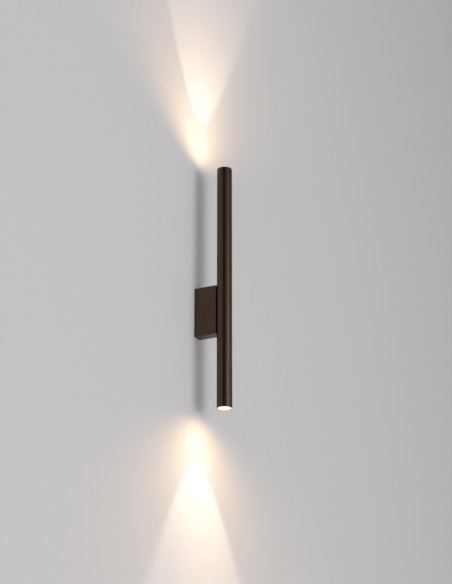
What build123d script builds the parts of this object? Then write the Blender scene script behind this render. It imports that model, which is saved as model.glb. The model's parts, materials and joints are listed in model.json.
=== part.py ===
from build123d import *

import os
from math import pi, radians, tan

# Linear wall light: a slim round tube that shines up and down, carried on a narrow wall box.
# Millimetres. X runs along the wall, +Y points into the wall and +Z is up.
# The origin is the middle of the wall bracket's back face, where it lies on the wall.

# Tube
tube_diameter = 30.0
tube_wall = 1.5
tube_length = 500.0
tube_drop = 150.0  # from the box's underside down to the tube's lower end
tube_end_rim = 1.0  # wall left around each cover disc
tube_edge = 0.3  # chamfer on both ends

# Wall box
box_width = 22.0
box_height = 100.0
box_depth = 47.0  # from the wall to the flat lands on both sides of the saddle
box_side_wall = 2.0
box_end_wall = 4.0
box_front_wall = 6.0
box_edge_radius = 0.6
box_inner_radius = 1.0
box_wall_gap = 0.5  # the rim stays this far off the wall
saddle_depth = 2.0  # how far the tube sinks into the box's front

# Wall bracket and the bush in its cable hole
bracket_thickness = 1.5
bracket_bend_radius = 1.0
bracket_flange = 12.0  # how far the bent ends reach off the wall
wall_slot_spacing = 70.0
wall_slot_width = 4.5
wall_slot_length = 8.0
cable_z = 12.0
cable_bore_diameter = 8.0
cable_bush_wall = 0.9
cable_bush_flange_width = 2.5
cable_bush_flange_thickness = 1.5
cable_bush_edge = 0.7

# Grub screws that lock the box on the bracket
lock_diameter = 4.0
lock_inset = 7.0  # from the wall to the screws' axis
lock_recess = 0.4  # below the box's outer face
lock_socket_width = 2.0
lock_socket_depth = 1.8

# Screws, washers and anchor bar that join the tube to the box
joint_diameter = 4.0
joint_head_diameter = 7.0
joint_head_height = 2.6
joint_head_edge = 1.3
joint_socket_width = 2.5
joint_socket_depth = 1.5
joint_end_gap = 1.5  # from a head to the box's end wall
washer_thickness = 0.8
anchor_thickness = 6.0
anchor_width = 14.0
anchor_overhang = 6.0  # past each screw
anchor_wire_gap = 1.5  # around the wire bush, on the radius

# Bush where the leads pass from the box into the tube
wire_bush_bore_diameter = 4.6
wire_bush_wall = 0.9
wire_bush_flange_width = 0.8
wire_bush_flange_thickness = 1.2
wire_bush_edge = 0.6
wire_bush_tail = 0.5  # past the tube's inner face

# Terminal block
pole_count = 3
terminal_height = 10.0
terminal_depth = 11.0
terminal_side_gap = 0.75
terminal_wire_depth = 5.0  # from the block's base to its wire holes
terminal_peg_radius = 1.4
clamp_radius = 2.1
clamp_bore_radius = 1.4
clamp_inset = 0.8
clamp_screw_radius = 1.2
clamp_screw_spacing = 4.6
clamp_screw_recess = 1.2
clamp_screw_slot = 0.5  # width and depth of the driver slot

# Protective earth
earth_diameter = 3.0
earth_head_diameter = 5.4
earth_head_height = 1.8
earth_head_edge = 0.6
earth_slot = 0.8  # width and depth of the driver slot
tag_thickness = 0.8
tag_ring_radius = 3.2
tag_neck = 1.0
tag_barrel_radius = 1.6
tag_barrel_length = 5.0
tag_gap = 0.8  # from the ring to the wire bush's flange
earth_lead_drop = 11.5  # from the terminal block down to the tag
earth_lead_bend = 2.9  # from the block, and from the tag, to the lead's corners

# Driver, taped to the box's side wall
pad_thickness = 1.0
pad_margin = 4.0
driver_side_gap = 2.0
driver_front_gap = 4.0
driver_wall_room = 9.0  # kept clear in front of the wall
driver_end_gap = 0.5
driver_shell = 1.2
driver_edge = 0.6
driver_lid_thickness = 1.2
driver_board_thickness = 1.6
driver_board_gap = 0.3
driver_board_top_gap = 4.0
transformer_size = 10.0
transformer_height = 8.0
capacitor_radius = 4.0
capacitor_height = 7.5
component_gap = 1.0
component_edge = 0.5

# Leads
mains_lead_radius = 0.9
led_lead_radius = 0.8
lead_hole_gap = 0.25  # around a lead, on the radius
lead_hole_web = 0.6  # between two lead holes in the driver's case
lead_tail = 3.0  # inside the driver's case and inside the clamps
lead_rise = 9.5  # from the driver's top to the wire bush
lead_exit = 9.0  # from the driver's front to where its leads leave
lead_turn = 3.0  # the bends in the tube lie this far in front of its axis
lead_climb = 40.0
lead_cross = 60.0
lead_slack = 3.0
lead_straight = 80.0
bend_share = 0.45  # share of the shorter run that a bend may use
solder_height = 0.5  # the leads stand this far out of the LED boards

# Light engine at each end, from the tube's mouth inwards
cover_recess = 0.2
cover_thickness = 2.5
gasket_thickness = 0.6
gasket_width = 1.6
holder_gap = 0.2
holder_wall = 1.2
holder_lip = 0.8
holder_base = 1.5
holder_hole_radius = 5.4
lens_flange = 1.2
lens_sink = 0.2  # the lens lies this far below the holder's rim
lens_height = 9.3
lens_shoulder = 0.5
lens_tip_radius = 4.6
lens_cavity_radius = 3.6
lens_cavity_depth = 4.5
chip_radius = 3.2
chip_height = 0.9
chip_gap = 0.3
led_board_margin = 2.5  # between the board's edge and the tube
led_board_thickness = 1.6
thermal_pad_thickness = 0.3
board_screw_diameter = 2.0
board_screw_head_diameter = 3.8
board_screw_head_height = 1.3
board_screw_grip = 5.0
board_screw_margin = 2.2
solder_margin = 2.5
solder_relief_radius = 1.8
sink_length = 30.0
sink_bore_radius = 5.0
sink_face = 10.0  # solid metal behind the board
set_diameter = 3.0
set_length = 5.0
set_recess = 0.4
set_socket_width = 1.5
set_socket_depth = 1.5

# Clearances
bracket_clearance = 0.5  # between the bracket and the inside of the box
screw_clearance = 0.15  # around a thread, on the radius
passage_clearance = 0.25  # around a screw that passes freely, on the radius
slip_clearance = 0.2  # around what slides into the tube, on the radius
saddle_clearance = 0.15  # between the tube and what it is curved to fit
bush_clearance = 0.1  # around a bush or a peg, on the radius
tip_clearance = 0.1  # between a lock screw's tip and the bracket
thread_floor = 0.6  # metal left under a blind hole

# Places that follow from these sizes
tube_radius = tube_diameter / 2
tube_bore_radius = tube_radius - tube_wall
tube_axis_y = -(box_depth - saddle_depth + tube_radius)
tube_bottom = -box_height / 2 - tube_drop
tube_top = tube_bottom + tube_length
box_inner_width = box_width - 2 * box_side_wall
box_inner_height = box_height - 2 * box_end_wall
front_inner_y = -(box_depth - box_front_wall)
saddle_wall = box_front_wall - saddle_depth
flange_outer_z = box_inner_height / 2 - bracket_clearance
flange_inner_z = flange_outer_z - bracket_thickness
bracket_width = box_inner_width - 2 * bracket_clearance
joint_z = box_inner_height / 2 - joint_end_gap - joint_head_diameter / 2
terminal_top = joint_z - joint_head_diameter / 2 - bracket_clearance
terminal_bottom = terminal_top - terminal_height
terminal_middle = (terminal_top + terminal_bottom) / 2
terminal_wire_y = front_inner_y + terminal_wire_depth
terminal_width = box_inner_width - 2 * terminal_side_gap
pole_pitch = terminal_width / pole_count
tag_top = terminal_bottom - earth_lead_drop
earth_z = tag_top - tag_barrel_length - tag_neck - tag_ring_radius
tag_barrel_y = front_inner_y + tag_barrel_radius
wire_bush_radius = wire_bush_bore_diameter / 2 + wire_bush_wall
wire_bush_flange_radius = wire_bush_radius + wire_bush_flange_width
wire_z = earth_z - tag_ring_radius - tag_gap - wire_bush_flange_radius
driver_top = wire_z - lead_rise
driver_bottom = -(flange_inner_z - driver_end_gap)
driver_left = -box_inner_width / 2 + pad_thickness
driver_right = box_inner_width / 2 - driver_side_gap
driver_front = front_inner_y + driver_front_gap
driver_back = -driver_wall_room
lead_exit_y = driver_front + lead_exit
lead_offset = (wire_bush_bore_diameter / 2 - led_lead_radius) - lead_hole_gap
lead_hole_radius = led_lead_radius + lead_hole_gap
mains_hole_radius = mains_lead_radius + lead_hole_gap
mains_offset = lead_offset + lead_hole_radius + lead_hole_web + mains_hole_radius
led_board_radius = tube_bore_radius - led_board_margin
solder_circle = led_board_radius - solder_margin
board_screw_circle = led_board_radius - board_screw_margin

# Depths behind the tube's mouths
seat_depth = cover_recess + cover_thickness + gasket_thickness
holder_rim_depth = seat_depth + holder_gap
lens_front_depth = holder_rim_depth + lens_sink
lens_ledge_depth = lens_front_depth + lens_flange
lens_tip_depth = lens_ledge_depth + lens_height
board_front_depth = lens_tip_depth + chip_gap + chip_height
board_back_depth = board_front_depth + led_board_thickness
sink_front_depth = board_back_depth + thermal_pad_thickness
set_depth = sink_front_depth + sink_length / 2

socket_side_count = 6
ends = (("upper", tube_top, -1), ("lower", tube_bottom, 1))

os.makedirs("parts", exist_ok=True)


def keep(piece, name):
    """Label a finished piece and write it under its own name."""
    piece.part.label = name
    export_step(piece.part, f"parts/{name}.step")


def socket_screw(seat, radius, length, socket_width, socket_depth):
    """A grub screw whose tip lies on the seat plane, with a hexagon socket in its far end."""
    with BuildPart() as screw:
        with BuildSketch(seat):
            Circle(radius)
        extrude(amount=length)
        chamfer(screw.edges().filter_by(GeomType.CIRCLE), screw_clearance)
        with BuildSketch(seat.offset(length)):
            RegularPolygon(socket_width / 2, socket_side_count, major_radius=False)
        extrude(amount=-socket_depth, mode=Mode.SUBTRACT)
    return screw


def bend_radii(points):
    """The largest bend at each corner that its two runs leave room for."""
    corners = [Vector(*point) for point in points]
    radii = []
    for before, corner, after in zip(corners, corners[1:], corners[2:]):
        arriving = corner - before
        leaving = after - corner
        reach = bend_share * min(arriving.length, leaving.length)
        radii.append(reach / tan(radians(arriving.get_angle(leaving)) / 2))
    return radii


def lead(name, points, radius):
    """An insulated lead along straight runs joined by tangent arcs."""
    radii = bend_radii(points)
    with BuildPart() as run:
        with BuildLine() as route:
            FilletPolyline(*points, radius=radii)
        with BuildSketch(Plane(origin=route.line @ 0, z_dir=route.line % 0)):
            Circle(radius)
        sweep(path=route.line)
    keep(run, name)
    length = sum(edge.length for edge in route.edges())
    share = run.part.volume / (pi * radius**2 * length)
    bends = ", ".join(f"{bend:.1f}" for bend in radii)
    print(f"{name}: {length:.1f} long, bends {bends}, volume / section x length {share:.4f}")


# Wall bracket: a strip bent forward at both ends, with two slots and a cable hole
with BuildPart() as wall_bracket:
    with BuildSketch(Plane.YZ):
        with Locations((-bracket_flange / 2, 0)):
            Rectangle(bracket_flange, 2 * flange_outer_z)
        with Locations((-(bracket_flange + bracket_thickness) / 2, 0)):
            Rectangle(bracket_flange - bracket_thickness, 2 * flange_inner_z, mode=Mode.SUBTRACT)
        fillet(vertices().group_by(Axis.X)[-2], bracket_bend_radius)
        fillet(vertices().group_by(Axis.X)[-1], bracket_bend_radius + bracket_thickness)
    extrude(amount=bracket_width / 2, both=True)
    with BuildSketch(Plane.XZ):
        with GridLocations(0, wall_slot_spacing, 1, 2):
            SlotOverall(wall_slot_length, wall_slot_width, rotation=90)
        with Locations((0, cable_z)):
            Circle(cable_bore_diameter / 2 + cable_bush_wall + bush_clearance)
    extrude(amount=bracket_thickness, mode=Mode.SUBTRACT)
keep(wall_bracket, "wall_bracket")

# Cable bush: a barrel flush with the wall, with its flange inside the box
with BuildPart() as cable_bush:
    cable_bush_radius = cable_bore_diameter / 2 + cable_bush_wall
    with BuildSketch(Plane.XZ):
        with Locations((0, cable_z)):
            Circle(cable_bush_radius)
    extrude(amount=bracket_thickness)
    with BuildSketch(Plane.XZ.offset(bracket_thickness)):
        with Locations((0, cable_z)):
            Circle(cable_bush_radius + cable_bush_flange_width)
    extrude(amount=cable_bush_flange_thickness)
    fillet(cable_bush.edges().sort_by(Axis.Y)[0], cable_bush_edge)
    with BuildSketch(Plane.XZ):
        with Locations((0, cable_z)):
            Circle(cable_bore_diameter / 2)
    extrude(amount=bracket_thickness + cable_bush_flange_thickness, mode=Mode.SUBTRACT)
keep(cable_bush, "cable_bush")

# Wall box: open towards the wall, with a saddle for the tube along its front
with BuildPart() as rear_box:
    with BuildSketch(Plane.XZ.offset(box_wall_gap)):
        Rectangle(box_width, box_height)
    extrude(amount=box_depth - box_wall_gap)
    fillet(rear_box.edges().filter_by(Axis.Y), box_edge_radius)
    fillet(rear_box.faces().sort_by(Axis.Y)[0].edges(), box_edge_radius)
    with BuildSketch(Plane.XZ.offset(box_wall_gap)):
        Rectangle(box_inner_width, box_inner_height)
        fillet(vertices(), box_inner_radius)
    extrude(amount=-front_inner_y - box_wall_gap, mode=Mode.SUBTRACT)
    with BuildSketch(Plane.XY):
        with Locations((0, tube_axis_y)):
            Circle(tube_radius + saddle_clearance)
        with Locations((0, -lock_inset)):
            Circle(lock_diameter / 2 + screw_clearance)
    extrude(amount=box_height, both=True, mode=Mode.SUBTRACT)
    with BuildSketch(Plane.XZ.offset(-front_inner_y)):
        with GridLocations(0, 2 * joint_z, 1, 2):
            Circle(joint_diameter / 2 + passage_clearance)
        with Locations((0, wire_z)):
            Circle(wire_bush_radius + bush_clearance)
    extrude(amount=box_front_wall, mode=Mode.SUBTRACT)
    with BuildSketch(Plane.XZ.offset(-front_inner_y)):
        with Locations((0, earth_z)):
            Circle(earth_diameter / 2 + screw_clearance)
        with Locations((0, terminal_middle)):
            with GridLocations(pole_pitch, 0, pole_count - 1, 1):
                Circle(terminal_peg_radius + bush_clearance)
    extrude(amount=saddle_wall - thread_floor, mode=Mode.SUBTRACT)
keep(rear_box, "rear_box")

# Lock screws: they stand in the box's end walls and press on the bracket's flanges
for end, _, inward in ends:
    lock_seat = Plane(
        origin=(0, -lock_inset, -inward * (flange_outer_z + tip_clearance)),
        z_dir=(0, 0, -inward),
    )
    lock_length = box_end_wall + bracket_clearance - tip_clearance - lock_recess
    lock_screw = socket_screw(
        lock_seat, lock_diameter / 2, lock_length, lock_socket_width, lock_socket_depth
    )
    keep(lock_screw, f"{end}_lock_screw")

# Tube: seats for the cover discs in both ends, and holes in its wall side
with BuildPart() as tube:
    with BuildSketch(Plane.XY.offset(tube_bottom)):
        with Locations((0, tube_axis_y)):
            Circle(tube_radius)
    extrude(amount=tube_length)
    chamfer(tube.edges().filter_by(GeomType.CIRCLE), tube_edge)
    with BuildSketch(Plane.XY.offset(tube_bottom)):
        with Locations((0, tube_axis_y)):
            Circle(tube_bore_radius)
    extrude(amount=tube_length, mode=Mode.SUBTRACT)
    for _, end_z, inward in ends:
        with BuildSketch(Plane(origin=(0, tube_axis_y, end_z), z_dir=(0, 0, inward))):
            Circle(tube_radius - tube_end_rim)
        extrude(amount=seat_depth, mode=Mode.SUBTRACT)
    with BuildSketch(Plane.XZ.offset(-tube_axis_y)):
        with GridLocations(0, 2 * joint_z, 1, 2):
            Circle(joint_diameter / 2 + passage_clearance)
        with Locations((0, wire_z)):
            Circle(wire_bush_radius + bush_clearance)
        with Locations((0, tube_top - set_depth), (0, tube_bottom + set_depth)):
            Circle(set_diameter / 2 + screw_clearance)
    extrude(amount=-tube_radius, mode=Mode.SUBTRACT)
keep(tube, "tube")

# Anchor bar inside the tube, threaded for the joint screws
anchor_back_radius = tube_bore_radius - saddle_clearance
anchor_front_y = tube_axis_y + anchor_back_radius - anchor_thickness
with BuildPart() as tube_anchor:
    with BuildSketch(Plane.XY):
        with Locations((0, tube_axis_y)):
            Circle(anchor_back_radius)
        with Locations((0, anchor_front_y + anchor_thickness)):
            Rectangle(anchor_width, 2 * anchor_thickness, mode=Mode.INTERSECT)
    extrude(amount=joint_z + anchor_overhang, both=True)
    with BuildSketch(Plane.XZ.offset(-anchor_front_y)):
        with GridLocations(0, 2 * joint_z, 1, 2):
            Circle(joint_diameter / 2 + screw_clearance)
        with Locations((0, wire_z)):
            Circle(wire_bush_radius + anchor_wire_gap)
    extrude(amount=-2 * anchor_thickness, mode=Mode.SUBTRACT)
keep(tube_anchor, "tube_anchor")

# Joint screws and their washers, driven from inside the box
joint_heights = ((0, joint_z), (0, -joint_z))
joint_seat_y = front_inner_y + washer_thickness
joint_tip_y = anchor_front_y + thread_floor
with BuildPart() as joint_washers:
    with BuildSketch(Plane.XZ.offset(-joint_seat_y)):
        with Locations(*joint_heights):
            Circle(joint_head_diameter / 2)
            Circle(joint_diameter / 2 + screw_clearance, mode=Mode.SUBTRACT)
    extrude(amount=washer_thickness)
keep(joint_washers, "joint_washers")

with BuildPart() as joint_screws:
    with BuildSketch(Plane.XZ.offset(-joint_seat_y)):
        with Locations(*joint_heights):
            Circle(joint_diameter / 2)
    extrude(amount=joint_seat_y - joint_tip_y)
    with BuildSketch(Plane.XZ.offset(-joint_seat_y)):
        with Locations(*joint_heights):
            Circle(joint_head_diameter / 2)
    extrude(amount=-joint_head_height)
    head_rims = joint_screws.faces().group_by(Axis.Y)[-1].edges()
    fillet(head_rims, joint_head_edge)
    with BuildSketch(Plane.XZ.offset(-joint_seat_y - joint_head_height)):
        with Locations(*joint_heights):
            RegularPolygon(joint_socket_width / 2, socket_side_count, major_radius=False)
    extrude(amount=joint_socket_depth, mode=Mode.SUBTRACT)
keep(joint_screws, "joint_screws")

# Wire bush through the box's front and the tube's wall
with BuildPart() as wire_bush:
    wire_bush_length = saddle_wall + tube_wall + wire_bush_tail
    with BuildSketch(Plane.XZ.offset(-front_inner_y)):
        with Locations((0, wire_z)):
            Circle(wire_bush_radius)
    extrude(amount=wire_bush_length)
    with BuildSketch(Plane.XZ.offset(-front_inner_y)):
        with Locations((0, wire_z)):
            Circle(wire_bush_flange_radius)
    extrude(amount=-wire_bush_flange_thickness)
    fillet(wire_bush.edges().sort_by(Axis.Y)[-1], wire_bush_edge)
    with BuildSketch(Plane.XZ.offset(-front_inner_y)):
        with Locations((0, wire_z)):
            Circle(wire_bush_bore_diameter / 2)
    extrude(amount=wire_bush_length + wire_bush_flange_thickness, both=True, mode=Mode.SUBTRACT)
keep(wire_bush, "wire_bush")

# Terminal block: wire holes from end to end, screw wells facing the wall, two pegs in the box
terminal_back_y = front_inner_y + terminal_depth
with BuildPart() as terminal_block:
    with BuildSketch(Plane.XZ.offset(-front_inner_y)):
        with Locations((0, terminal_middle)):
            Rectangle(terminal_width, terminal_height)
    extrude(amount=-terminal_depth)
    chamfer(terminal_block.faces().sort_by(Axis.Y)[-1].edges().filter_by(Axis.X), clamp_inset)
    with BuildSketch(Plane.XZ.offset(-front_inner_y)):
        with Locations((0, terminal_middle)):
            with GridLocations(pole_pitch, 0, pole_count - 1, 1):
                Circle(terminal_peg_radius)
    extrude(amount=saddle_wall - 2 * thread_floor)
    with BuildSketch(Plane.XY.offset(terminal_bottom)):
        with Locations((0, terminal_wire_y)):
            with GridLocations(pole_pitch, 0, pole_count, 1):
                Circle(clamp_radius + bush_clearance)
    extrude(amount=terminal_height, mode=Mode.SUBTRACT)
    with BuildSketch(Plane.XZ.offset(-terminal_back_y)):
        with Locations((0, terminal_middle)):
            with GridLocations(pole_pitch, clamp_screw_spacing, pole_count, 2):
                Circle(clamp_screw_radius + passage_clearance)
    extrude(amount=terminal_depth - terminal_wire_depth, mode=Mode.SUBTRACT)
keep(terminal_block, "terminal_block")

# Brass clamps in the block, each tapped twice
with BuildPart() as terminal_clamps:
    with BuildSketch(Plane.XY.offset(terminal_bottom + clamp_inset)):
        with Locations((0, terminal_wire_y)):
            with GridLocations(pole_pitch, 0, pole_count, 1):
                Circle(clamp_radius)
                Circle(clamp_bore_radius, mode=Mode.SUBTRACT)
    extrude(amount=terminal_height - 2 * clamp_inset)
    with BuildSketch(Plane.XZ.offset(-terminal_back_y)):
        with Locations((0, terminal_middle)):
            with GridLocations(pole_pitch, clamp_screw_spacing, pole_count, 2):
                Circle(clamp_screw_radius + bush_clearance)
    extrude(amount=terminal_depth - terminal_wire_depth, mode=Mode.SUBTRACT)
keep(terminal_clamps, "terminal_clamps")

# Clamp screws, each with a driver slot
clamp_screw_top_y = terminal_back_y - clamp_screw_recess
clamp_screw_tip_y = terminal_wire_y + mains_lead_radius + tip_clearance
with BuildPart() as terminal_screws:
    with BuildSketch(Plane.XZ.offset(-clamp_screw_top_y)):
        with Locations((0, terminal_middle)):
            with GridLocations(pole_pitch, clamp_screw_spacing, pole_count, 2):
                Circle(clamp_screw_radius)
    extrude(amount=clamp_screw_top_y - clamp_screw_tip_y)
    with BuildSketch(Plane.XZ.offset(-clamp_screw_top_y)):
        with Locations((0, terminal_middle)):
            with GridLocations(pole_pitch, clamp_screw_spacing, pole_count, 2):
                Rectangle(2 * clamp_screw_radius, clamp_screw_slot)
    extrude(amount=clamp_screw_slot, mode=Mode.SUBTRACT)
keep(terminal_screws, "terminal_screws")

# Earth tag: a ring under the earth screw, with a barrel that is crimped on its lead
with BuildPart() as earth_tag:
    with BuildSketch(Plane.XZ.offset(-front_inner_y)):
        with Locations((0, earth_z)):
            Circle(tag_ring_radius)
        with Locations((0, (earth_z + tag_top - tag_barrel_length) / 2 + tag_neck / 2)):
            Rectangle(tag_barrel_radius, tag_top - tag_barrel_length - earth_z + tag_neck)
        with Locations((0, earth_z)):
            Circle(earth_diameter / 2 + screw_clearance, mode=Mode.SUBTRACT)
    extrude(amount=-tag_thickness)
    with BuildSketch(Plane.XY.offset(tag_top - tag_barrel_length)):
        with Locations((0, tag_barrel_y)):
            Circle(tag_barrel_radius)
    extrude(amount=tag_barrel_length)
    with BuildSketch(Plane.XY.offset(tag_top)):
        with Locations((0, tag_barrel_y)):
            Circle(mains_lead_radius + bush_clearance)
    extrude(amount=-tag_barrel_length, mode=Mode.SUBTRACT)
keep(earth_tag, "earth_tag")

# Earth screw and the washer between its head and the tag
earth_seat_y = front_inner_y + tag_thickness
earth_head_y = earth_seat_y + washer_thickness
with BuildPart() as earth_washer:
    with BuildSketch(Plane.XZ.offset(-earth_head_y)):
        with Locations((0, earth_z)):
            Circle(earth_head_diameter / 2)
            Circle(earth_diameter / 2 + screw_clearance, mode=Mode.SUBTRACT)
    extrude(amount=washer_thickness)
keep(earth_washer, "earth_washer")

with BuildPart() as earth_screw:
    with BuildSketch(Plane.XZ.offset(-earth_head_y)):
        with Locations((0, earth_z)):
            Circle(earth_diameter / 2)
    extrude(amount=washer_thickness + tag_thickness + saddle_wall - 2 * thread_floor)
    with BuildSketch(Plane.XZ.offset(-earth_head_y)):
        with Locations((0, earth_z)):
            Circle(earth_head_diameter / 2)
    extrude(amount=-earth_head_height)
    fillet(earth_screw.edges().sort_by(Axis.Y)[-1], earth_head_edge)
    with BuildSketch(Plane.XZ.offset(-earth_head_y - earth_head_height)):
        with Locations((0, earth_z)):
            Rectangle(earth_head_diameter, earth_slot)
    extrude(amount=earth_slot, mode=Mode.SUBTRACT)
keep(earth_screw, "earth_screw")

# Driver: case, lid, board and its two largest components, on a foam pad
driver_middle_x = (driver_left + driver_right) / 2
driver_middle_y = (driver_front + driver_back) / 2
driver_middle_z = (driver_top + driver_bottom) / 2
driver_width = driver_right - driver_left
driver_height = driver_top - driver_bottom
driver_lid_y = driver_back - driver_lid_thickness
led_exits = ((-lead_offset, lead_exit_y), (lead_offset, lead_exit_y))
mains_exits = ((-mains_offset, lead_exit_y), (mains_offset, lead_exit_y))
with BuildPart() as driver_case:
    with BuildSketch(Plane.XZ.offset(-driver_lid_y)):
        with Locations((driver_middle_x, driver_middle_z)):
            Rectangle(driver_width, driver_height)
    extrude(amount=driver_lid_y - driver_front)
    fillet(driver_case.edges().filter_by(Axis.Y), driver_edge)
    with BuildSketch(Plane.XZ.offset(-driver_lid_y)):
        with Locations((driver_middle_x, driver_middle_z)):
            Rectangle(driver_width - 2 * driver_shell, driver_height - 2 * driver_shell)
    extrude(amount=driver_lid_y - driver_front - driver_shell, mode=Mode.SUBTRACT)
    with BuildSketch(Plane.XY.offset(driver_top)):
        with Locations(*led_exits):
            Circle(lead_hole_radius)
        with Locations(*mains_exits):
            Circle(mains_hole_radius)
    extrude(amount=-driver_shell, mode=Mode.SUBTRACT)
keep(driver_case, "driver_case")

with BuildPart() as driver_lid:
    with BuildSketch(Plane.XZ.offset(-driver_back)):
        with Locations((driver_middle_x, driver_middle_z)):
            RectangleRounded(driver_width, driver_height, driver_edge)
    extrude(amount=driver_lid_thickness)
keep(driver_lid, "driver_lid")

board_face_x = driver_left + driver_shell + driver_board_gap + driver_board_thickness
board_bottom = driver_bottom + driver_shell + driver_board_gap
board_top = driver_top - driver_shell - driver_board_top_gap
board_depth = driver_lid_y - driver_front - driver_shell - 2 * driver_board_gap
board_middle_y = (driver_front + driver_shell + driver_lid_y) / 2
with BuildPart() as driver_board:
    with BuildSketch(Plane.YZ.offset(board_face_x)):
        with Locations((board_middle_y, (board_top + board_bottom) / 2)):
            Rectangle(board_depth, board_top - board_bottom)
    extrude(amount=-driver_board_thickness)
keep(driver_board, "driver_board")

transformer_z = board_bottom + component_gap + transformer_size / 2
with BuildPart() as driver_transformer:
    with BuildSketch(Plane.YZ.offset(board_face_x)):
        with Locations((board_middle_y, transformer_z)):
            Rectangle(transformer_size, transformer_size)
    extrude(amount=transformer_height)
    chamfer(driver_transformer.edges().filter_by(Axis.X), component_edge)
keep(driver_transformer, "driver_transformer")

capacitor_z = transformer_z + transformer_size / 2 + component_gap + capacitor_radius
with BuildPart() as driver_capacitor:
    with BuildSketch(Plane.YZ.offset(board_face_x)):
        with Locations((board_middle_y, capacitor_z)):
            Circle(capacitor_radius)
    extrude(amount=capacitor_height)
    fillet(driver_capacitor.edges().sort_by(Axis.X)[-1], component_edge)
keep(driver_capacitor, "driver_capacitor")

with BuildPart() as driver_pad:
    with BuildSketch(Plane.YZ.offset(driver_left)):
        with Locations((driver_middle_y, driver_middle_z)):
            Rectangle(driver_back - driver_front - 2 * pad_margin, driver_height - 2 * pad_margin)
    extrude(amount=-pad_thickness)
keep(driver_pad, "driver_pad")

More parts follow.
